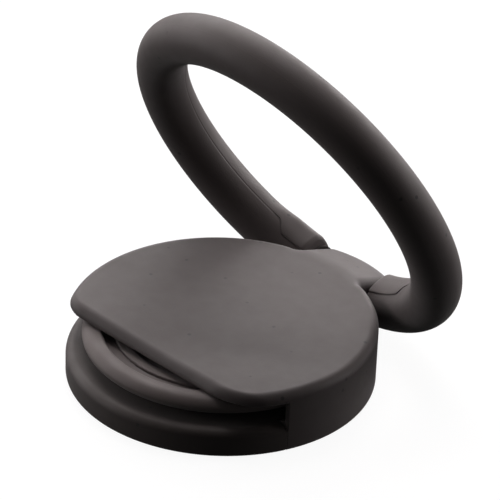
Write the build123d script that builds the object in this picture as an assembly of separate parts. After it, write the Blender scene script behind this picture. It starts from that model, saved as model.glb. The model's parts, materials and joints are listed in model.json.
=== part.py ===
"""Ring stand for a phone: a low puck that sticks to the back of a phone, with a finger ring
hinged at its rear that folds flat around the puck or stands up to prop the phone.
The front of the puck is an open slot that stores a round token, pushed out with a thumb.

Millimetres. Origin: centre of the adhesive face. +Z away from the phone, +Y towards the hinge."""
from build123d import *
import os
from math import cos, radians, sin

# ---- driving dimensions --------------------------------------------------------------------
FOOT_RADIUS = 12.82          # puck wall at the bottom
RIM_RADIUS = 12.90           # puck wall at the top: a little draft
PUCK_HEIGHT = 5.67
BASE_TOP = 2.50              # top of the base disc, which is the floor of the token slot
PLATE_UNDERSIDE = 4.70       # top of the token slot
CHORD_Y = -8.15              # straight front edge of the top plate
SLOT_END_ANGLE = 71.0        # the slot runs this far to each side of the front, in degrees
SHOULDER_RADIUS = 0.95       # rounded shoulder of the base where the slot leaves it bare
PLATE_EDGE_RADIUS = 0.80
PLATE_CORNER_RADIUS = 2.20
FOOT_EDGE_RADIUS = 0.35
PLUG_EDGE_RADIUS = 0.05      # edges of the base's plug, hidden inside the shell
FOOT_GAP = 0.05              # the adhesive pad stands this far below the moulded foot

PAD_RADIUS = 10.80
PAD_THICKNESS = 0.80
PAD_SIDE_GAP = 0.10          # between the pad and the recess that it sits in

TOKEN_RADIUS = 11.62
TOKEN_BOTTOM = 2.56
TOKEN_TOP = 4.58
TOKEN_EDGE_RADIUS = 1.00
TOKEN_RIM_INNER_RADIUS = 10.00
TOKEN_RIM_SLOPE = 0.22       # the rim's inner face leans in by this much down to the ledge
TOKEN_LEDGE_Z = 4.02
TOKEN_POCKET_RADIUS = 8.95
TOKEN_POCKET_FLOOR = 3.20
INLAY_TOP = 4.24
INLAY_SIDE_GAP = 0.05
INLAY_RIM_WIDTH = 0.90
INLAY_DISH_DEPTH = 0.30
INLAY_EDGE_RADIUS = 0.20
TOKEN_SIDE_GAP = 0.13        # between the token and the walls of its channel

RING_MEAN_RADIUS = 14.98
RING_TUBE_RADIUS = 2.12
RING_FLAT_CENTRE = (0.0, 0.25, 2.45)   # of the ring when it is level with the puck
REST_OPENING = 64.3          # degrees the ring stands up from level
HINGE_Y = 14.97
HINGE_Z = 2.867
TAB_HALF_WIDTH = 3.65
NECK_START_Y = 11.90         # the plate's top starts to run down to the knuckle here
NECK_END_SLOPE = -0.12
NECK_INSET = 0.08            # the neck meets the knuckle this far inside its top and bottom
RING_END_X = 3.90            # flat ends of the ring, either side of the tab
RING_END_ANGLE = 5.0         # sweeps start here, and are cut off flat at RING_END_X

PIN_RADIUS = 0.55
PIN_HALF_LENGTH = 5.70
BUSH_RADIUS = 1.05
BUSH_END_GAP = 0.05          # the bush stops this far inside each face of the tab
RUNNING_GAP = 0.03
FIXED_GAP = 0.01
WASHER_RADIUS = 1.60
WASHER_THICKNESS = 0.18
CORE_RADIUS = 0.85
STUB_RADIUS = 1.58
STUB_END_ANGLE = 33.0        # how far the moulded end piece reaches round the ring
CORE_END_ANGLE = 25.5
COVER_END_ANGLE = 34.5       # far edge of the raised cover on each ring end
COVER_HEIGHT = 0.10
COVER_SECTION_ANGLES = (-15.0, 100.0)
RIVET_ANGLE = 29.5
RIVET_RADIUS = 0.30
RIVET_HALF_LENGTH = 1.10

BIG = 40.0


def wall_radius(z):
    """Outer radius of the puck at a height."""
    return FOOT_RADIUS + (RIM_RADIUS - FOOT_RADIUS) * z / PUCK_HEIGHT


def save(shape, name):
    """One node, one file."""
    export_step(shape, f"parts/{name}.step")


def rz_face(points):
    """Closed outline in the half plane of a turned part: x is the radius, y the height."""
    return make_face(Plane.XZ * Polyline(*points, close=True))


def turned(points):
    return revolve(rz_face(points), axis=Axis.Z)


def disc(radius, low, high):
    return Pos(0, 0, (low + high) / 2) * Cylinder(radius, high - low)


def block(x_range, y_range, z_range):
    sizes = [high - low for low, high in (x_range, y_range, z_range)]
    centre = [(high + low) / 2 for low, high in (x_range, y_range, z_range)]
    return Pos(*centre) * Box(*sizes)


def x_rod(radius, x_low, x_high, y=HINGE_Y, z=HINGE_Z):
    """Rod along X, by default on the hinge line."""
    return Pos((x_low + x_high) / 2, y, z) * Rot(0, 90, 0) * Cylinder(radius, x_high - x_low)


# ---- the puck ------------------------------------------------------------------------------
def base_outline(radius, top_radius, top_edge, foot_edge):
    """Half section of the base disc, with a recess beneath for the adhesive pad and rounded
    outer edges."""
    recess = PAD_RADIUS + PAD_SIDE_GAP
    face = rz_face([(0, PAD_THICKNESS), (recess, PAD_THICKNESS), (recess, FOOT_GAP),
                    (radius, FOOT_GAP), (top_radius, BASE_TOP), (0, BASE_TOP)])
    high_corner = face.vertices().sort_by(Axis.X)[-2:].sort_by(Axis.Z)[-1]
    face = fillet(high_corner, top_edge)
    low_corner = face.vertices().sort_by(Axis.Z)[:2].sort_by(Axis.X)[-1]
    return fillet(low_corner, foot_edge)


def base_disc():
    """Full width across the open front, where its rounded shoulder shows; behind that it is a
    plug inside the shell's wall."""
    front = revolve(base_outline(
        wall_radius(0), wall_radius(BASE_TOP), SHOULDER_RADIUS, FOOT_EDGE_RADIUS), axis=Axis.Z)
    front = front - block((-BIG, BIG), (slot_end_y() - FIXED_GAP, BIG), (-1, BIG))
    plug_radius = channel_half() - FIXED_GAP
    plug = revolve(base_outline(
        plug_radius, plug_radius, PLUG_EDGE_RADIUS, PLUG_EDGE_RADIUS), axis=Axis.Z)
    return front + plug


def slot_end_y():
    """Where the shell's wall ends on each side of the open front."""
    return -wall_radius(BASE_TOP) * cos(radians(SLOT_END_ANGLE))


def channel_half():
    """Half width of the token's channel, and the radius of the wall's inner face."""
    return TOKEN_RADIUS + TOKEN_SIDE_GAP


def puck_envelope(low, high):
    """The drafted outer form of the puck between two heights."""
    return turned([(0, low), (wall_radius(low), low), (wall_radius(high), high), (0, high)])


def hollow():
    """Inside of the shell: the round plug beneath and the token's channel, whose sides run
    straight out through the front."""
    half = channel_half()
    straight = block((-half, half), (-BIG, 0), (BASE_TOP, PLATE_UNDERSIDE))
    return disc(half, -1, PLATE_UNDERSIDE) + straight


def plate_and_wall():
    """Top plate with a straight front edge and rounded corners, and the wall that carries it
    and runs down to the foot, open across the front."""
    cap = puck_envelope(FOOT_GAP, PUCK_HEIGHT)
    cap -= block((-BIG, BIG), (-BIG, slot_end_y()), (-1, PLATE_UNDERSIDE))
    cap -= block((-BIG, BIG), (-BIG, CHORD_Y), (-1, BIG))
    uprights = [e for e in cap.edges() if 0.5 < e.bounding_box().size.Z < 1.5]
    corners = [e for e in uprights if e.center().Y < CHORD_Y + 0.5]
    cap = fillet(corners, PLATE_CORNER_RADIUS)
    cap = fillet(cap.faces().sort_by(Axis.Z)[-1].edges(), PLATE_EDGE_RADIUS)
    foot = [e for e in cap.faces().sort_by(Axis.Z)[0].edges() if e.geom_type == GeomType.CIRCLE]
    return fillet(foot, FOOT_EDGE_RADIUS)


def ring_tube(tube_radius):
    """Full torus of the folded ring."""
    return Pos(*RING_FLAT_CENTRE) * Torus(RING_MEAN_RADIUS, tube_radius)


def hinge_tab():
    """Knuckle that continues the ring's tube, on a neck that runs down from the plate."""
    knuckle = ring_tube(RING_TUBE_RADIUS) & block(
        (-TAB_HALF_WIDTH, TAB_HALF_WIDTH), (0, BIG), (-BIG, BIG))
    reach = RING_TUBE_RADIUS - NECK_INSET
    knuckle_top = (HINGE_Y, RING_FLAT_CENTRE[2] + reach)
    knuckle_foot = (HINGE_Y, RING_FLAT_CENTRE[2] - reach)
    start = (NECK_START_Y, PUCK_HEIGHT)
    crown = Spline(start, knuckle_top, tangents=[(1, 0), (1, NECK_END_SLOPE)])
    rest = Polyline(knuckle_top, knuckle_foot, (start[0], knuckle_foot[1]), start)
    neck = extrude(Plane.YZ * make_face([crown, rest]), TAB_HALF_WIDTH, both=True)
    return knuckle + neck


def upper_shell():
    shell = plate_and_wall() + hinge_tab()
    shell -= hollow()
    return shell - x_rod(BUSH_RADIUS + FIXED_GAP, -TAB_HALF_WIDTH, TAB_HALF_WIDTH)


def adhesive_pad():
    return disc(PAD_RADIUS, 0, PAD_THICKNESS - FIXED_GAP)


def hinge_bush():
    """Tight plastic sleeve in the tab that grips the pin and gives the hinge its friction."""
    half = TAB_HALF_WIDTH - BUSH_END_GAP
    return x_rod(BUSH_RADIUS, -half, half) - x_rod(PIN_RADIUS + RUNNING_GAP, -BIG, BIG)


# ---- the token -----------------------------------------------------------------------------
def token_disc():
    """Coin-sized token: full round edge, raised rim, ledge and a pocket for the inlay."""
    face = rz_face([(0, TOKEN_BOTTOM), (TOKEN_RADIUS, TOKEN_BOTTOM), (TOKEN_RADIUS, TOKEN_TOP),
                    (TOKEN_RIM_INNER_RADIUS, TOKEN_TOP),
                    (TOKEN_RIM_INNER_RADIUS - TOKEN_RIM_SLOPE, TOKEN_LEDGE_Z),
                    (TOKEN_POCKET_RADIUS, TOKEN_LEDGE_Z),
                    (TOKEN_POCKET_RADIUS, TOKEN_POCKET_FLOOR), (0, TOKEN_POCKET_FLOOR)])
    edge = face.vertices().sort_by(Axis.X)[-2:]
    return revolve(fillet(edge, TOKEN_EDGE_RADIUS), axis=Axis.Z)


def token_inlay():
    """Thin disc pressed into the token's pocket, its rim standing just above the ledge."""
    radius = TOKEN_POCKET_RADIUS - INLAY_SIDE_GAP
    dish = radius - INLAY_RIM_WIDTH
    low = TOKEN_POCKET_FLOOR + FIXED_GAP
    dish_z = INLAY_TOP - INLAY_DISH_DEPTH
    face = rz_face([(0, low), (radius, low), (radius, INLAY_TOP), (dish, INLAY_TOP),
                    (dish - INLAY_DISH_DEPTH, dish_z), (0, dish_z)])
    edge = face.vertices().sort_by(Axis.X)[-2:].sort_by(Axis.Z)[-1:]
    return revolve(fillet(edge, INLAY_EDGE_RADIUS), axis=Axis.Z)


# ---- the ring, modelled folded flat around the puck ----------------------------------------
def to_rest(shape):
    """Turns a folded ring piece about the hinge line to its resting angle."""
    hinge = Pos(0, HINGE_Y, HINGE_Z)
    return hinge * Rot(-REST_OPENING, 0, 0) * Pos(0, -HINGE_Y, -HINGE_Z) * shape


def ring_sector(tube_radius, first, last, section=None):
    """Tube swept round the ring from one angle to another, measured from the hinge towards +X.
    section limits it to a slice, measured from the tube's innermost line towards +Z."""
    profile = Circle(tube_radius)
    if section:
        arc = CenterArc((0, 0), tube_radius, 180 - section[1], section[1] - section[0])
        profile = make_face([Line((0, 0), arc @ 0), arc, Line(arc @ 1, (0, 0))])
    swept = revolve(Plane.XZ * Pos(RING_MEAN_RADIUS, 0) * profile, axis=Axis.Z,
                    revolution_arc=last - first)
    return Pos(*RING_FLAT_CENTRE) * Rot(0, 0, 90 - last) * swept


def beyond_gap(side):
    """Half space on one side, outside the gap that takes the tab."""
    return block(sorted((side * RING_END_X, side * BIG)), (-BIG, BIG), (-BIG, BIG))


def ring_core(grow=0.0):
    return ring_sector(CORE_RADIUS + grow, CORE_END_ANGLE, 360 - CORE_END_ANGLE)


def mirrored(shape, side):
    return shape if side > 0 else mirror(shape, about=Plane.YZ)


def core_rivet(side, grow=0.0):
    """Short pin along Z that locks the core's end in the end piece."""
    angle = radians(RIVET_ANGLE)
    place = (side * RING_MEAN_RADIUS * sin(angle),
             RING_FLAT_CENTRE[1] + RING_MEAN_RADIUS * cos(angle), RING_FLAT_CENTRE[2])
    return Pos(*place) * Cylinder(RIVET_RADIUS + grow, 2 * RIVET_HALF_LENGTH + 2 * grow)


def end_piece_blank(side, grow=0.0):
    """Stub inside the grip and the raised cover that it shows on the ring's inner side."""
    stub = ring_sector(STUB_RADIUS + grow, RING_END_ANGLE, STUB_END_ANGLE + grow)
    low, high = COVER_SECTION_ANGLES
    cover = ring_sector(RING_TUBE_RADIUS + COVER_HEIGHT + grow, RING_END_ANGLE,
                        COVER_END_ANGLE + grow, (low - grow, high + grow))
    return mirrored(stub + cover, side) & beyond_gap(side)


def end_piece(side):
    reach = PIN_HALF_LENGTH + FIXED_GAP
    pin_hole = x_rod(PIN_RADIUS + FIXED_GAP, -reach, reach)
    return end_piece_blank(side) - pin_hole - ring_core(FIXED_GAP) - core_rivet(side, FIXED_GAP)


def ring_grip():
    """Soft C-shaped tube moulded over the core and the two end pieces."""
    tube = ring_tube(RING_TUBE_RADIUS)
    tube -= block((-RING_END_X, RING_END_X), (0, BIG), (-BIG, BIG))
    for side in (-1, 1):
        tube -= end_piece_blank(side, FIXED_GAP)
    return tube - ring_core(FIXED_GAP)


def hinge_pin():
    return x_rod(PIN_RADIUS, -PIN_HALF_LENGTH, PIN_HALF_LENGTH)


def washer(side):
    """Thin washer between the tab and the ring's end."""
    outer = RING_END_X - FIXED_GAP
    faces = sorted((side * outer, side * (outer - WASHER_THICKNESS)))
    return x_rod(WASHER_RADIUS, *faces) - x_rod(PIN_RADIUS + FIXED_GAP, -BIG, BIG)


# ---- write every node ----------------------------------------------------------------------
os.makedirs("parts", exist_ok=True)

save(base_disc(), "base_disc")
save(upper_shell(), "upper_shell")
save(adhesive_pad(), "adhesive_pad")
save(hinge_bush(), "hinge_bush")
save(token_disc(), "token_disc")
save(token_inlay(), "token_inlay")

save(to_rest(ring_grip()), "ring_grip")
save(to_rest(ring_core() - core_rivet(-1, FIXED_GAP) - core_rivet(1, FIXED_GAP)), "ring_core")
save(to_rest(hinge_pin()), "hinge_pin")
for side, label in ((-1, "left"), (1, "right")):
    save(to_rest(end_piece(side)), f"ring_end_{label}")
    save(to_rest(core_rivet(side)), f"core_rivet_{label}")
    save(to_rest(washer(side)), f"hinge_washer_{label}")
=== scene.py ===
"""Ring stand for a phone: the finished surfaces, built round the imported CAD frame.

The puck, the token and its inlay are meshed from distance fields, so that every edge has its
moulded radius. The ring is swept: a front and a back half meet at a fine parting line, and at
each end the back half swells into a finger pad."""
import json
import math

import bmesh
import bpy
import numpy as np
from mathutils import Matrix, Vector


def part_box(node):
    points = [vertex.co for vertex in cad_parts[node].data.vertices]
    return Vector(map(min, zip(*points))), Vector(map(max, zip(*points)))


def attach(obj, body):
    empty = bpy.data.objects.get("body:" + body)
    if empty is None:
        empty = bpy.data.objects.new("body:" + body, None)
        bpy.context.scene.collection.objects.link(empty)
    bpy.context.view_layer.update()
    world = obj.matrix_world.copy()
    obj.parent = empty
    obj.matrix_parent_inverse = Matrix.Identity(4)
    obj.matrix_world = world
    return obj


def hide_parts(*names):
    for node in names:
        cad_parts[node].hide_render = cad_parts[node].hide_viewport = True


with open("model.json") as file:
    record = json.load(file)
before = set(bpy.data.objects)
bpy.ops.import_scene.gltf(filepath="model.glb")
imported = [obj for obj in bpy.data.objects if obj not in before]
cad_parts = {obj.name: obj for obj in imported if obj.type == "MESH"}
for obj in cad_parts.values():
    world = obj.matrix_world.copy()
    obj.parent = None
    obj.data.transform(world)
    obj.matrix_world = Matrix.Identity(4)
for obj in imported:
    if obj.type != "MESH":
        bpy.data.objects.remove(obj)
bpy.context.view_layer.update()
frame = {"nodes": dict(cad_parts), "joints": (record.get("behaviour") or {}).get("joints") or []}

MM = 0.001

# ---- sizes, from the frame (millimetres) ----------------------------------------------------


def node_box(node):
    """Lowest and highest corner of a CAD node at rest, in millimetres."""
    low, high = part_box(node)
    return np.array(low) / MM, np.array(high) / MM


def joint(name):
    return next(j for j in frame["joints"] if j["name"] == name)


shell_low, shell_high = node_box("upper_shell")
base_low, base_high = node_box("base_disc")
token_low, token_high = node_box("token_disc")
inlay_low, inlay_high = node_box("token_inlay")
pad_low, pad_high = node_box("adhesive_pad")
ring_high = node_box("ring_grip")[1]
bush_high = node_box("hinge_bush")[1]

HINGE = np.array(joint("ring_hinge")["pos_m"]) / MM
TOP = shell_high[2]
BASE_TOP = base_high[2]
FOOT = base_low[2]
CHORD_Y = shell_low[1]

# ---- sizes that no box gives (millimetres and degrees) --------------------------------------
REST_OPENING = 64.3                  # how far the ring stands up from level at rest
FOOT_RADIUS = 12.82
RIM_RADIUS = 12.90
UNDERSIDE = 4.70                     # lower face of the top plate
SLOT_END_Y = -4.18                   # where the wall ends on each side of the open front
SIDE_GAP = 0.13                      # between the token and its channel
CLEARANCE = 0.02                     # between pieces that lie on each other
BORE_CLEARANCE = 0.01                # round the hinge's bush
PLUG_CLEARANCE = 0.03                # between the base's plug and the shell's wall
RECESS_CLEARANCE = 0.1               # round the adhesive pad
SEAM_GAP = 0.005                     # between the base's front and the ends of the shell's wall,
                                     # and those ends' edge radius below the slot
SLOT_EDGE = 0.05                     # edge radius inside the slot
PLATE_EDGE = 0.85                    # edge radii of the plate and, in plan, of its two corners
LEFT_CORNER, RIGHT_CORNER = 1.3, 2.3
SHOULDER = 0.75                      # edge radius of the base across the open front
FOOT_EDGE = 0.3
CROWN_SLOPE = 20.0                   # degrees, of the plate's run down to the hinge knuckle
CROWN_BEND = 0.8                     # half length of the bend where that run starts
KNUCKLE_RADIUS = 10.0                # of the knuckle's rounded rear, seen from above
SINK_DEPTH, SINK_WIDTH = 0.14, 3.0   # shallow sink mark across the plate's front
SINK_DISTANCE = 5.9                  # of its middle line from the puck's axis
SINK_AZIMUTH = 40.0                  # and the direction in which it lies, from the front round to +X
TAB_HALF_WIDTH = 3.65
TAB_EDGE = 0.80
TAB_FOOT = 0.41
TAB_BLEND = 0.3                      # fillet where the tab leaves the wall, and its lower edge
TAB_START_Y, TAB_END_Y = 12.2, 13.6  # over which the plate's edge turns into the tab's
CROWN_FADE = 0.9                     # width beside the tab in which the crown's run dies out
BORE_START_Y = 13.0                  # the bush's bore lies beyond this
RING_TUBE = 2.12
RING_MEAN = ring_high[0] - RING_TUBE
RING_CENTRE = HINGE + np.array([0.0, -14.72, -0.417])     # when level
KNUCKLE_END_Y = RING_CENTRE[1] + RING_MEAN + RING_TUBE * math.sin(math.radians(CROWN_SLOPE))
KNUCKLE_END_Z = RING_CENTRE[2] + RING_TUBE * math.cos(math.radians(CROWN_SLOPE))
RING_END_X = 3.90
RING_END_EDGE = 0.35
CORE_HOLE = 0.87
PARTING = 15.5                       # the halves meet here, up from the tube's innermost line
PARTING_RIGHT = 2.0                  # and here just past the right pad
PAD_LEFT = (28.0, 33.5, -10.5)       # where the pad's corner starts and stops, its lower edge
PAD_RIGHT = (39.0, 43.5, -16.5)
PAD_STEP = 0.10
PAD_STEP_FADE = (55, 95)             # section angles over which the step dies out
PAD_CREST = 0.22
CREST_SECTION, CREST_WIDTH = 45, 18  # where the crest runs along the section
PAD_RUN_OUT = (0.95, 1.18)           # the rise dies out between these shares of start and stop
PARTING_FADE = (50, 110)             # angles over which the right parting line levels out
PAD_LEFT_END, PAD_RIGHT_END = 41.0, 57.0     # where each pad's piece ends, flush with the tube
TOKEN_EDGE = 1.0
TOKEN_UNDERCUT = 1.5                 # inward run of the token's edge per mm below its middle
UNDERCUT_EDGE = 0.4
WELL_RADIUS, WELL_Z = 10.0, 4.02     # well inside the token's rim: its radius and its floor
WELL_SLOPE = 0.35                    # and how much it narrows per mm of depth
WELL_EDGE, WELL_CORNER = 0.12, 0.1   # edge radii at its mouth and at its floor
POCKET_EDGE = 0.03
INLAY_EDGE = 0.06
DISH_RIM, DISH_DEPTH = 1.0, 0.3      # of the inlay's dish
DISH_EDGE, DISH_CORNER = 0.2, 0.15
FOAM_EDGE = 0.08
SEAM_DEPTH, SEAM_WIDTH = 0.018, 0.05
CLOUD_SCALE, PATCH_SCALE, SPECK_SCALE, GRAIN_SCALE, FOAM_SCALE = 260, 700, 450, 9000, 4000
END_ANGLE = 17.0                     # the ring's flat end has the section of this angle
LEAD_ANGLE = 21.5                    # the ring's first radial row, past its rounded end
END_ROWS = 9                         # points over the rounding, and over the lead
CORE_POINTS = 12                     # of a half tube's section along the core's hole
SHARP_ANGLE = 35                     # the ring's edges stay sharp beyond this

CHANNEL_HALF = token_high[0] + SIDE_GAP
STEP = 0.12              # grid of the meshed fields
ROW_ANGLE = 0.4          # between two rows of the ring
SECTION_POINTS = 48
REFINEMENTS = 4


# ---- distance fields ------------------------------------------------------------------------
def cut_round(a, b, r):
    """Common part of two fields, its edge rounded to radius r."""
    u, v = np.maximum(a + r, 0), np.maximum(b + r, 0)
    return np.minimum(np.maximum(a, b), -r) + np.hypot(u, v)


def join_round(a, b, r):
    """Both fields together, the corner between them filled to radius r."""
    u, v = np.maximum(r - a, 0), np.maximum(r - b, 0)
    return np.maximum(np.minimum(a, b), r) - np.hypot(u, v)


def minus_round(a, b, r):
    return cut_round(a, -b, r)


def box_2d(u, v, half_u, half_v, r):
    """Rectangle with rounded corners."""
    du, dv = np.abs(u) - half_u + r, np.abs(v) - half_v + r
    return np.hypot(np.maximum(du, 0), np.maximum(dv, 0)) + np.minimum(np.maximum(du, dv), 0) - r


def ease(value, start, stop):
    """0 before start, 1 after stop, smooth between."""
    t = np.clip((value - start) / (stop - start), 0, 1)
    return t * t * (3 - 2 * t)


def gradient(field, points, h=0.01):
    columns = []
    for axis in range(3):
        shift = np.zeros(3)
        shift[axis] = h
        columns.append((field(points + shift) - field(points - shift)) / (2 * h))
    return np.stack(columns, 1)


def surface(field, low, high, step):
    """Quads on the zero level of a distance field: one vertex per grid cell that the surface
    crosses, then moved onto the surface. Returns points, quads and normals."""
    axes = [np.arange(a, b + step, step, dtype=np.float64) for a, b in zip(low, high)]
    shape = tuple(len(a) for a in axes)
    points = np.stack(np.meshgrid(*axes, indexing="ij"), -1).reshape(-1, 3)
    value = field(points).reshape(shape)
    inside = value < 0
    total = np.zeros(tuple(n - 1 for n in shape) + (3,))
    count = np.zeros(tuple(n - 1 for n in shape))
    crossings = []
    for axis in range(3):
        others = [k for k in range(3) if k != axis]
        near = [slice(None)] * 3
        far = [slice(None)] * 3
        near[axis], far[axis] = slice(0, -1), slice(1, None)
        a, b = value[tuple(near)], value[tuple(far)]
        index = np.argwhere(inside[tuple(near)] != inside[tuple(far)])
        for k in others:
            index = index[(index[:, k] > 0) & (index[:, k] < shape[k] - 1)]
        key = tuple(index.T)
        t = a[key] / (a[key] - b[key])
        where = index.astype(float)
        where[:, axis] += t
        cells = []
        for du, dv in ((0, 0), (1, 0), (1, 1), (0, 1)):
            cell = index.copy()
            cell[:, others[0]] -= du
            cell[:, others[1]] -= dv
            cells.append(cell)
            np.add.at(total, tuple(cell.T), where)
            np.add.at(count, tuple(cell.T), 1)
        crossings.append((cells, inside[tuple(near)][key] ^ (axis == 1)))
    used = np.argwhere(count > 0)
    number = np.full(count.shape, -1)
    number[tuple(used.T)] = np.arange(len(used))
    key = tuple(used.T)
    spots = total[key] / count[key][:, None] * step + np.array([a[0] for a in axes])
    quads = []
    for cells, outward in crossings:
        loop = np.stack([number[tuple(c.T)] for c in cells], 1)
        quads.append(np.where(outward[:, None], loop, loop[:, ::-1]))
    for _ in range(REFINEMENTS):
        distance, slope = field(spots), gradient(field, spots)
        move = -(distance / np.maximum((slope ** 2).sum(1), 0.25))[:, None] * slope
        length = np.linalg.norm(move, axis=1, keepdims=True)
        spots = spots + move * np.minimum(1, step * 0.5 / np.maximum(length, 1e-9))
    slope = gradient(field, spots)
    return spots, np.concatenate(quads), slope / np.linalg.norm(slope, axis=1, keepdims=True)


def finish_piece(name, mesh, body, slot, replaced, finish=None):
    """Puts a mesh on its body, in its material, for the CAD nodes that it stands for."""
    obj = bpy.data.objects.new(name, mesh)
    bpy.context.scene.collection.objects.link(obj)
    mesh.materials.append(MATERIALS[finish or slot])
    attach(obj, body)
    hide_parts(*replaced)
    return obj


def field_piece(name, field, low, high, body, slot, replaced, finish=None):
    margin = 3 * STEP
    points, quads, normals = surface(field, np.array(low) - margin, np.array(high) + margin, STEP)
    mesh = bpy.data.meshes.new(name)
    mesh.from_pydata((points * MM).tolist(), [], quads.tolist())
    mesh.update()
    mesh.shade_smooth()
    mesh.normals_split_custom_set_from_vertices(normals.tolist())
    return finish_piece(name, mesh, body, slot, replaced, finish)


# ---- the puck and the token -----------------------------------------------------------------
def puck_side(p):
    """Outside of the puck's drafted wall."""
    wall = FOOT_RADIUS + (RIM_RADIUS - FOOT_RADIUS) * p[:, 2] / TOP
    return np.hypot(p[:, 0], p[:, 1]) - wall


def stadium(p):
    """Plan of the token's channel: round at the back, straight out through the front."""
    return np.where(p[:, 1] > 0, np.hypot(p[:, 0], p[:, 1]), np.abs(p[:, 0])) - CHANNEL_HALF


def knuckle_bend(x):
    """How far the knuckle's rounded rear falls back from its middle."""
    reach = np.minimum(np.abs(x), TAB_HALF_WIDTH)
    return KNUCKLE_RADIUS - np.sqrt(KNUCKLE_RADIUS ** 2 - reach ** 2)


def crown_height(x, y):
    """Top of the plate: flat with a faint sink mark, and over the tab a straight run down that
    meets the knuckle's round at a tangent."""
    slope = math.tan(math.radians(CROWN_SLOPE))
    run = slope * (y + knuckle_bend(x) - KNUCKLE_END_Y) + TOP - KNUCKLE_END_Z
    bend = slope * CROWN_BEND
    drop = np.where(run > bend, run, np.maximum(run + bend, 0) ** 2 / (4 * bend))
    drop = drop * (1 - ease(np.abs(x), TAB_HALF_WIDTH, TAB_HALF_WIDTH + CROWN_FADE))
    aim = math.radians(SINK_AZIMUTH)
    across = x * math.sin(aim) - y * math.cos(aim) - SINK_DISTANCE
    return TOP - drop - SINK_DEPTH * np.exp(-(across / SINK_WIDTH) ** 2)


def shell_field(p):
    """Top plate, wall and hinge tab in one: the plan outline joins the round wall to the tab,
    and the top follows the crown down to the knuckle."""
    x, y, z = p.T
    wall = cut_round(puck_side(p), CHORD_Y - y, np.where(x > 0, RIGHT_CORNER, LEFT_CORNER))
    neck = cut_round(np.abs(x) - TAB_HALF_WIDTH, TAB_FOOT - z, TAB_BLEND)
    outline = join_round(wall, np.maximum(neck, -y), TAB_BLEND)
    edge = PLATE_EDGE + (TAB_EDGE - PLATE_EDGE) * ease(y, TAB_START_Y, TAB_END_Y)
    body = cut_round(outline, z - crown_height(x, y), edge)
    body = np.maximum(body, y + knuckle_bend(x) - KNUCKLE_END_Y)
    tube_y = y + knuckle_bend(x) - RING_CENTRE[1] - RING_MEAN
    knuckle = np.hypot(tube_y, z - RING_CENTRE[2]) - RING_TUBE
    body = np.minimum(body, cut_round(knuckle, np.abs(x) - TAB_HALF_WIDTH, TAB_EDGE))
    body = cut_round(body, FOOT - z, FOOT_EDGE)
    front = np.maximum(y - SLOT_END_Y, z - UNDERSIDE)
    body = minus_round(body, front, np.where(z > BASE_TOP, SLOT_EDGE, SEAM_GAP))
    inner = np.where(z > BASE_TOP, stadium(p), np.hypot(x, y) - CHANNEL_HALF)
    body = minus_round(body, np.maximum(inner, z - UNDERSIDE), SLOT_EDGE)
    bore = np.hypot(y - HINGE[1], z - HINGE[2]) - (bush_high[2] - HINGE[2]) - BORE_CLEARANCE
    return minus_round(body, np.maximum(bore, BORE_START_Y - y), SLOT_EDGE)


def base_field(p):
    """Full width across the open front, and a plug inside the shell's wall behind that."""
    x, y, z = p.T
    front = cut_round(puck_side(p), z - BASE_TOP, SHOULDER)
    front = np.maximum(front, y - SLOT_END_Y + SEAM_GAP)
    plug = np.maximum(np.hypot(x, y) - CHANNEL_HALF + PLUG_CLEARANCE, z - BASE_TOP)
    body = cut_round(np.minimum(front, plug), FOOT - z, FOOT_EDGE)
    recess = np.maximum(np.hypot(x, y) - pad_high[0] - RECESS_CLEARANCE,
                        z - pad_high[2] - CLEARANCE)
    return np.maximum(body, -recess)


def token_field(p):
    """Disc with a round edge that runs in below its middle, a raised rim, a ledge and the inlay's
    pocket."""
    z = p[:, 2]
    r = np.hypot(p[:, 0], p[:, 1])
    middle, half = (token_low[2] + token_high[2]) / 2, (token_high[2] - token_low[2]) / 2
    body = box_2d(r, z - middle, token_high[0], half, TOKEN_EDGE)
    underside = r - token_high[0] - TOKEN_UNDERCUT * (z - middle)
    body = cut_round(body, underside / math.hypot(1, TOKEN_UNDERCUT), UNDERCUT_EDGE)
    well = cut_round(r - WELL_RADIUS + (token_high[2] - z) * WELL_SLOPE, WELL_Z - z, WELL_CORNER)
    body = minus_round(body, well, WELL_EDGE)
    pocket = np.maximum(r - inlay_high[0] - CLEARANCE, inlay_low[2] - CLEARANCE - z)
    return minus_round(body, pocket, POCKET_EDGE)


def inlay_field(p):
    """Disc with a low rim round a shallow dish."""
    z = p[:, 2]
    r = np.hypot(p[:, 0], p[:, 1])
    middle, half = (inlay_low[2] + inlay_high[2]) / 2, (inlay_high[2] - inlay_low[2]) / 2
    body = box_2d(r, z - middle, inlay_high[0], half, INLAY_EDGE)
    dish = cut_round(r - inlay_high[0] + DISH_RIM, inlay_high[2] - DISH_DEPTH - z, DISH_CORNER)
    return minus_round(body, dish, DISH_EDGE)


def pad_field(p):
    middle, half = (pad_low[2] + pad_high[2]) / 2, (pad_high[2] - pad_low[2]) / 2
    return box_2d(np.hypot(p[:, 0], p[:, 1]), p[:, 2] - middle, pad_high[0], half, FOAM_EDGE)


# ---- the ring -------------------------------------------------------------------------------
def to_rest(points):
    """Turns points of the level ring about the hinge to its resting angle."""
    angle = math.radians(-REST_OPENING)
    turn = np.array(Matrix.Rotation(angle, 3, "X"))
    return (points - HINGE) @ turn.T + HINGE


def pad_sizes(around):
    """Corner start, corner stop and lower edge of the pad on this side of the hinge."""
    right = np.asarray(around) > 0
    return [np.where(right, b, a) for a, b in zip(PAD_LEFT, PAD_RIGHT)]


def parting(around):
    """Section angle of the line where the ring's halves meet: level along the ring, and down
    round the corner of each pad."""
    start, stop, low = pad_sizes(around)
    drop = np.where(np.asarray(around) > 0, 1 - ease(np.abs(around), *PARTING_FADE), 0)
    high = PARTING + (PARTING_RIGHT - PARTING) * drop
    return low + (high - low) * ease(np.abs(around), start, stop)


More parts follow.
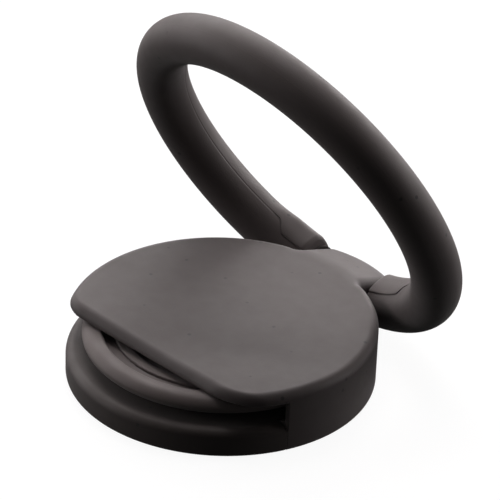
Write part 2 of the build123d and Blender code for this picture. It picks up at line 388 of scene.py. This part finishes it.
def pad_rise(around, section):
    """How far a pad stands above the round tube: most where the finger rests."""
    start, stop, _ = pad_sizes(around)
    along = 1 - ease(np.abs(around), start * PAD_RUN_OUT[0], stop * PAD_RUN_OUT[1])
    crest = np.exp(-((section - CREST_SECTION) / CREST_WIDTH) ** 2)
    edge = 1 - ease(section, *PAD_STEP_FADE)
    return along * (PAD_STEP * edge + PAD_CREST * crest)


def section_fractions():
    """Where the points of a half tube's section lie, closest together at the parting line."""
    seam = np.array([0, 0.006, 0.012, 0.02, 0.035])
    return np.concatenate([seam, np.linspace(0.055, 1, SECTION_POINTS)])


def outer_points(around, upper, inset):
    """One row of points on the outside of a half tube: their section angles and distances from
    the tube's centre line."""
    fraction = section_fractions()
    first = parting(around)
    last = PARTING + 180 if upper else PARTING - 180
    section = first + (last - first) * fraction
    from_seam = fraction * math.pi * RING_TUBE
    rho = RING_TUBE - SEAM_DEPTH * np.exp(-(from_seam / SEAM_WIDTH) ** 2) - inset
    if upper:
        rho = rho + pad_rise(around, section)
    return section, rho


def half_tube_row(around, upper, inset=0.0, end_x=None, lead=0.0):
    """Closed section of a half tube: the outside, then back along the core's hole. A row at an
    end of the ring lies in the plane at end_x; lead turns it step by step into a radial row."""
    section, rho = outer_points(around, upper, inset)
    inner = np.linspace(section[-1], section[0], CORE_POINTS)
    section = np.radians(np.concatenate([section, inner]))
    rho = np.concatenate([rho, np.full(len(inner), CORE_HOLE)])
    radius = RING_MEAN - rho * np.cos(section)
    turn = np.full(len(rho), math.radians(abs(around)))
    if end_x is not None:
        turn = np.arcsin(end_x / radius) * (1 - lead) + turn * lead
    x = np.copysign(radius * np.sin(turn), around)
    y = RING_CENTRE[1] + radius * np.cos(turn)
    return np.stack([x, y, RING_CENTRE[2] + rho * np.sin(section)], 1)


def end_rows(side, upper):
    """Rows that round off the ring's flat end and lead over to the first radial row."""
    rows = []
    for turn in np.radians(np.linspace(0, 90, END_ROWS)):
        inset = RING_END_EDGE * (1 - math.sin(turn))
        end_x = RING_END_X + RING_END_EDGE * (1 - math.cos(turn))
        rows.append(half_tube_row(side * END_ANGLE, upper, inset, end_x))
    for lead in np.linspace(0, 1, END_ROWS)[1:-1]:
        rows.append(half_tube_row(side * LEAD_ANGLE, upper, 0.0, end_x, lead))
    return rows


def ring_piece(name, upper, first, last, slot, replaced):
    """Half of the tube from one angle to another, counted from the hinge round by +X. An angle
    of None is that end of the ring."""
    start = LEAD_ANGLE if first is None else first
    stop = 360 - LEAD_ANGLE if last is None else last
    count = int((stop - start) / ROW_ANGLE) + 1
    rows = [half_tube_row((a + 180) % 360 - 180, upper) for a in np.linspace(start, stop, count)]
    if first is None:
        rows = end_rows(1, upper) + rows
    if last is None:
        rows = rows + end_rows(-1, upper)[::-1]
    per_row = len(rows[0])
    corner = np.arange(per_row)
    following = (corner + 1) % per_row
    quads = []
    for k in range(len(rows) - 1):
        a, b = k * per_row, (k + 1) * per_row
        quads.append(np.stack([a + corner, a + following, b + following, b + corner], 1))
    faces = np.concatenate(quads).tolist()
    faces.append(corner.tolist())
    faces.append((corner + (len(rows) - 1) * per_row).tolist())
    mesh = bpy.data.meshes.new(name)
    mesh.from_pydata((to_rest(np.concatenate(rows)) * MM).tolist(), [], faces)
    shape = bmesh.new()
    shape.from_mesh(mesh)
    bmesh.ops.recalc_face_normals(shape, faces=shape.faces)
    shape.to_mesh(mesh)
    shape.free()
    mesh.shade_smooth()
    mesh.set_sharp_from_angle(angle=math.radians(SHARP_ANGLE))
    return finish_piece(name, mesh, "ring", slot, replaced)


# ---- materials ------------------------------------------------------------------------------
def new_material(name):
    material = bpy.data.materials.new(name)
    material.use_nodes = True
    nodes = material.node_tree.nodes
    return material, nodes, material.node_tree.links, nodes["Principled BSDF"]


def map_range(nodes, links, value, source, target):
    """Remaps a value, clamped, and returns the new output."""
    node = nodes.new("ShaderNodeMapRange")
    for socket, number in zip(("From Min", "From Max", "To Min", "To Max"), (*source, *target)):
        node.inputs[socket].default_value = number
    links.new(value, node.inputs["Value"])
    return node.outputs["Result"]


def noise(nodes, links, coordinates, scale, detail):
    node = nodes.new("ShaderNodeTexNoise")
    node.inputs["Scale"].default_value = scale
    node.inputs["Detail"].default_value = detail
    links.new(coordinates, node.inputs["Vector"])
    return node.outputs["Fac"]


def moulded_plastic(name, color, roughness=0.62, sheen=0.2):
    """Soft matt plastic: uneven tone and gloss, a fine spark-eroded grain, and a few specks of
    dust and pits."""
    material, nodes, links, shader = new_material(name)
    place = nodes.new("ShaderNodeTexCoord").outputs["Object"]
    tone = nodes.new("ShaderNodeMix")
    tone.data_type = "RGBA"
    tone.inputs["A"].default_value = [c * 0.88 for c in color] + [1]
    tone.inputs["B"].default_value = [c * 1.12 for c in color] + [1]
    links.new(noise(nodes, links, place, CLOUD_SCALE, 3), tone.inputs["Factor"])

    cells = nodes.new("ShaderNodeTexVoronoi")
    cells.inputs["Scale"].default_value = SPECK_SCALE
    links.new(place, cells.inputs["Vector"])
    speck = map_range(nodes, links, cells.outputs["Distance"], (0.05, 0.09), (1, 0))
    spotted = nodes.new("ShaderNodeMix")
    spotted.data_type = "RGBA"
    spotted.inputs["B"].default_value = [c * 0.25 for c in color] + [1]
    links.new(tone.outputs["Result"], spotted.inputs["A"])
    links.new(speck, spotted.inputs["Factor"])
    links.new(spotted.outputs["Result"], shader.inputs["Base Color"])

    patches = noise(nodes, links, place, PATCH_SCALE, 4)
    gloss = map_range(nodes, links, patches, (0.3, 0.7), (roughness - 0.05, roughness + 0.05))
    links.new(gloss, shader.inputs["Roughness"])

    pit = nodes.new("ShaderNodeMath")
    pit.operation = "SUBTRACT"
    links.new(noise(nodes, links, place, GRAIN_SCALE, 2), pit.inputs[0])
    links.new(speck, pit.inputs[1])
    bump = nodes.new("ShaderNodeBump")
    bump.inputs["Strength"].default_value = 0.25
    bump.inputs["Distance"].default_value = 0.00002
    links.new(pit.outputs["Value"], bump.inputs["Height"])
    links.new(bump.outputs["Normal"], shader.inputs["Normal"])
    shader.inputs["Sheen Weight"].default_value = sheen
    shader.inputs["Sheen Roughness"].default_value = 0.6
    return material


def foam(name, color):
    """Adhesive foam: dark, dull and full of small cells."""
    material, nodes, links, shader = new_material(name)
    place = nodes.new("ShaderNodeTexCoord").outputs["Object"]
    cells = nodes.new("ShaderNodeTexVoronoi")
    cells.inputs["Scale"].default_value = FOAM_SCALE
    links.new(place, cells.inputs["Vector"])
    tone = nodes.new("ShaderNodeMix")
    tone.data_type = "RGBA"
    tone.inputs["A"].default_value = [c * 0.6 for c in color] + [1]
    tone.inputs["B"].default_value = [c * 1.3 for c in color] + [1]
    links.new(cells.outputs["Distance"], tone.inputs["Factor"])
    links.new(tone.outputs["Result"], shader.inputs["Base Color"])
    bump = nodes.new("ShaderNodeBump")
    bump.inputs["Strength"].default_value = 0.6
    bump.inputs["Distance"].default_value = 0.00005
    links.new(cells.outputs["Distance"], bump.inputs["Height"])
    links.new(bump.outputs["Normal"], shader.inputs["Normal"])
    shader.inputs["Roughness"].default_value = 0.9
    return material


def turned_steel(name):
    """Drawn steel: fine lines along X, with uneven gloss."""
    material, nodes, links, shader = new_material(name)
    place = nodes.new("ShaderNodeTexCoord").outputs["Object"]
    stretch = nodes.new("ShaderNodeMapping")
    stretch.inputs["Scale"].default_value = (0.04, 1, 1)
    links.new(place, stretch.inputs["Vector"])
    lines = noise(nodes, links, stretch.outputs["Vector"], GRAIN_SCALE, 3)
    tone = nodes.new("ShaderNodeMix")
    tone.data_type = "RGBA"
    tone.inputs["A"].default_value = (0.42, 0.42, 0.43, 1)
    tone.inputs["B"].default_value = (0.62, 0.62, 0.63, 1)
    links.new(lines, tone.inputs["Factor"])
    links.new(tone.outputs["Result"], shader.inputs["Base Color"])
    links.new(map_range(nodes, links, lines, (0.3, 0.7), (0.25, 0.42)), shader.inputs["Roughness"])
    shader.inputs["Metallic"].default_value = 1.0
    return material


MATERIALS = {
    "puck_plastic": moulded_plastic("puck_plastic", (0.0455, 0.0330, 0.0320)),
    # base_plastic_painted_shade: the puck's plastic made darker, as painted shade over the base and
    # in the slot
    "base_plastic_painted_shade": moulded_plastic("base_plastic_painted_shade", (0.029, 0.0185, 0.0155)),
    # token_plastic: the puck's plastic made lighter, as painted light on the token and its inlay
    "token_plastic": moulded_plastic("token_plastic", (0.102, 0.081, 0.077)),
    "ring_grip": moulded_plastic("ring_grip", (0.060, 0.0455, 0.0435)),
    "ring_cover": moulded_plastic("ring_cover", (0.060, 0.0455, 0.0435)),
    "adhesive_foam": foam("adhesive_foam", (0.012, 0.012, 0.012)),
    "bush_plastic": moulded_plastic("bush_plastic", (0.75, 0.74, 0.70), 0.4, 0.0),
    "washer": moulded_plastic("washer", (0.030, 0.025, 0.024), 0.5, 0.0),
    "steel": turned_steel("steel"),
}
CAD_FINISH = {
    "hinge_bush": "bush_plastic", "hinge_pin": "steel", "ring_core": "steel",
    "core_rivet_left": "steel", "core_rivet_right": "steel",
    "hinge_washer_left": "washer", "hinge_washer_right": "washer",
}
for node_name, finish in CAD_FINISH.items():
    node_mesh = frame["nodes"][node_name].data
    node_mesh.materials.clear()
    node_mesh.materials.append(MATERIALS[finish])

# ---- build ----------------------------------------------------------------------------------
field_piece("shell", shell_field, [-RIM_RADIUS, CHORD_Y, FOOT], shell_high, "puck",
            "puck_plastic", ["upper_shell"])
# The base gets the darker copy of the puck's plastic: painted shade.
field_piece("base", base_field, base_low, base_high, "puck", "puck_plastic", ["base_disc"],
            finish="base_plastic_painted_shade")
# The token and its inlay get the lighter copy of the puck's plastic: painted light.
field_piece("token", token_field, token_low, token_high, "token", "token_plastic", ["token_disc"])
field_piece("inlay", inlay_field, inlay_low, inlay_high, "token", "token_plastic",
            ["token_inlay"])
field_piece("foam_pad", pad_field, pad_low, pad_high, "puck", "adhesive_foam", ["adhesive_pad"])

ring_piece("grip_front", False, None, None, "ring_grip", ["ring_grip"])
ring_piece("grip_back", True, PAD_RIGHT_END, 360 - PAD_LEFT_END, "ring_grip", ["ring_grip"])
ring_piece("pad_right", True, None, PAD_RIGHT_END, "ring_cover", ["ring_end_right"])
ring_piece("pad_left", True, 360 - PAD_LEFT_END, None, "ring_cover", ["ring_end_left"])


# ---- stage, light and camera ----------------------------------------------------------------
FLOOR_HALF = 0.95                    # metres from here on
COVE_START, COVE_RADIUS, COVE_STEPS = 0.9, 1.1, 18
WALL_HEIGHT = 3.0
BACKDROP_SIDES = 64
LIGHT_DISTANCE = 0.30
LIGHT_COLOR = (1.05, 1.0, 1.0)       # slightly warm
SOFTBOXES = {                        # azimuth, elevation, size and power
    "rear_key": (225, 30, 0.10, 0.16),
    "rear_high": (225, 70, 0.16, 0.33),
    "rear_left": (248, 30, 0.12, 0.24),
    "rear_right": (202, 10, 0.12, 0.22),
    "back_left": (275, 20, 0.14, 0.23),
    "back_right": (175, 20, 0.14, 0.31),
    "side_left": (308, 12, 0.16, 0.22),
    "side_right": (145, 14, 0.14, 0.19),
}
WORLD_STRENGTH = 0.042
CAMERA_AZIMUTH, CAMERA_ELEVATION, CAMERA_ROLL = 44.86, 31.4, 2.1
CAMERA_DISTANCE = 0.5785
AIM_RIGHT, AIM_UP = 2.434 * MM, 10.185 * MM    # where the camera aims, from the origin


def stage_piece(name, points, faces):
    """Pale, evenly lit piece of the stage, which throws no light back on the object."""
    mesh = bpy.data.meshes.new(name)
    mesh.from_pydata(points, [], faces)
    piece = bpy.data.objects.new(name, mesh)
    bpy.context.scene.collection.objects.link(piece)
    piece.visible_diffuse = piece.visible_glossy = False
    material, _, _, shader = new_material(name)
    shader.inputs["Base Color"].default_value = (0.12, 0.12, 0.12, 1)
    shader.inputs["Roughness"].default_value = 0.9
    shader.inputs["Specular IOR Level"].default_value = 0.0
    shader.inputs["Emission Color"].default_value = (1, 1, 1, 1)
    shader.inputs["Emission Strength"].default_value = 0.93
    mesh.materials.append(material)
    return piece


def make_floor():
    s = FLOOR_HALF
    stage_piece("floor", [(-s, -s, 0), (s, -s, 0), (s, s, 0), (-s, s, 0)], [(0, 1, 2, 3)])


def make_backdrop():
    """Round wall far outside the lights, which joins the floor in a cove."""
    rows = [(COVE_START, -0.0005)]
    for i in range(1, COVE_STEPS):
        turn = math.radians(i * 90 / COVE_STEPS)
        rows.append((COVE_START + COVE_RADIUS * math.sin(turn),
                     COVE_RADIUS - COVE_RADIUS * math.cos(turn)))
    rows.append((COVE_START + COVE_RADIUS, WALL_HEIGHT))
    n = BACKDROP_SIDES
    turns = [2 * math.pi * i / n for i in range(n)]
    points = [(r * math.cos(turn), r * math.sin(turn), z) for r, z in rows for turn in turns]
    faces = []
    for a in range(0, (len(rows) - 1) * n, n):
        faces += [(a + i, a + (i + 1) % n, a + n + (i + 1) % n, a + n + i) for i in range(n)]
    stage_piece("backdrop", points, faces).visible_shadow = False


def softbox(name, azimuth, elevation, size, power):
    """Square area light that looks at the puck, from an azimuth counted like the camera's."""
    a, e = math.radians(azimuth), math.radians(elevation)
    place = LIGHT_DISTANCE * Vector((math.sin(a) * math.cos(e), -math.cos(a) * math.cos(e),
                                     math.sin(e)))
    light = bpy.data.lights.new(name, "AREA")
    light.energy = power
    light.color = LIGHT_COLOR
    light.shape = "SQUARE"
    light.size = size
    obj = bpy.data.objects.new(name, light)
    obj.location = place
    obj.rotation_euler = (-place).to_track_quat("-Z", "Y").to_euler()
    bpy.context.scene.collection.objects.link(obj)


def make_camera():
    azimuth, elevation = math.radians(CAMERA_AZIMUTH), math.radians(CAMERA_ELEVATION)
    roll = math.radians(CAMERA_ROLL)
    back = Vector((math.sin(azimuth) * math.cos(elevation),
                   -math.cos(azimuth) * math.cos(elevation), math.sin(elevation)))
    flat_right = Vector((math.cos(azimuth), math.sin(azimuth), 0))
    flat_up = back.cross(flat_right)
    right = math.cos(roll) * flat_right + math.sin(roll) * flat_up
    up = math.cos(roll) * flat_up - math.sin(roll) * flat_right
    target = AIM_RIGHT * right + AIM_UP * up
    camera = bpy.data.objects.new("camera", bpy.data.cameras.new("camera"))
    camera.matrix_world = Matrix((
        (right.x, up.x, back.x, 0), (right.y, up.y, back.y, 0), (right.z, up.z, back.z, 0),
        (0, 0, 0, 1)))
    camera.location = target + back * CAMERA_DISTANCE
    camera.data.lens = 504
    camera.data.sensor_width = 36
    camera.data.clip_start = 0.01
    bpy.context.scene.collection.objects.link(camera)
    bpy.context.scene.camera = camera


make_floor()
make_backdrop()
make_camera()
for box_name, setting in SOFTBOXES.items():
    softbox(box_name, *setting)
world = bpy.data.worlds.new("world")
world.use_nodes = True
world.node_tree.nodes["Background"].inputs["Color"].default_value = (1, 1, 1, 1)
world.node_tree.nodes["Background"].inputs["Strength"].default_value = WORLD_STRENGTH
bpy.context.scene.world = world
bpy.context.scene.view_settings.view_transform = "Standard"
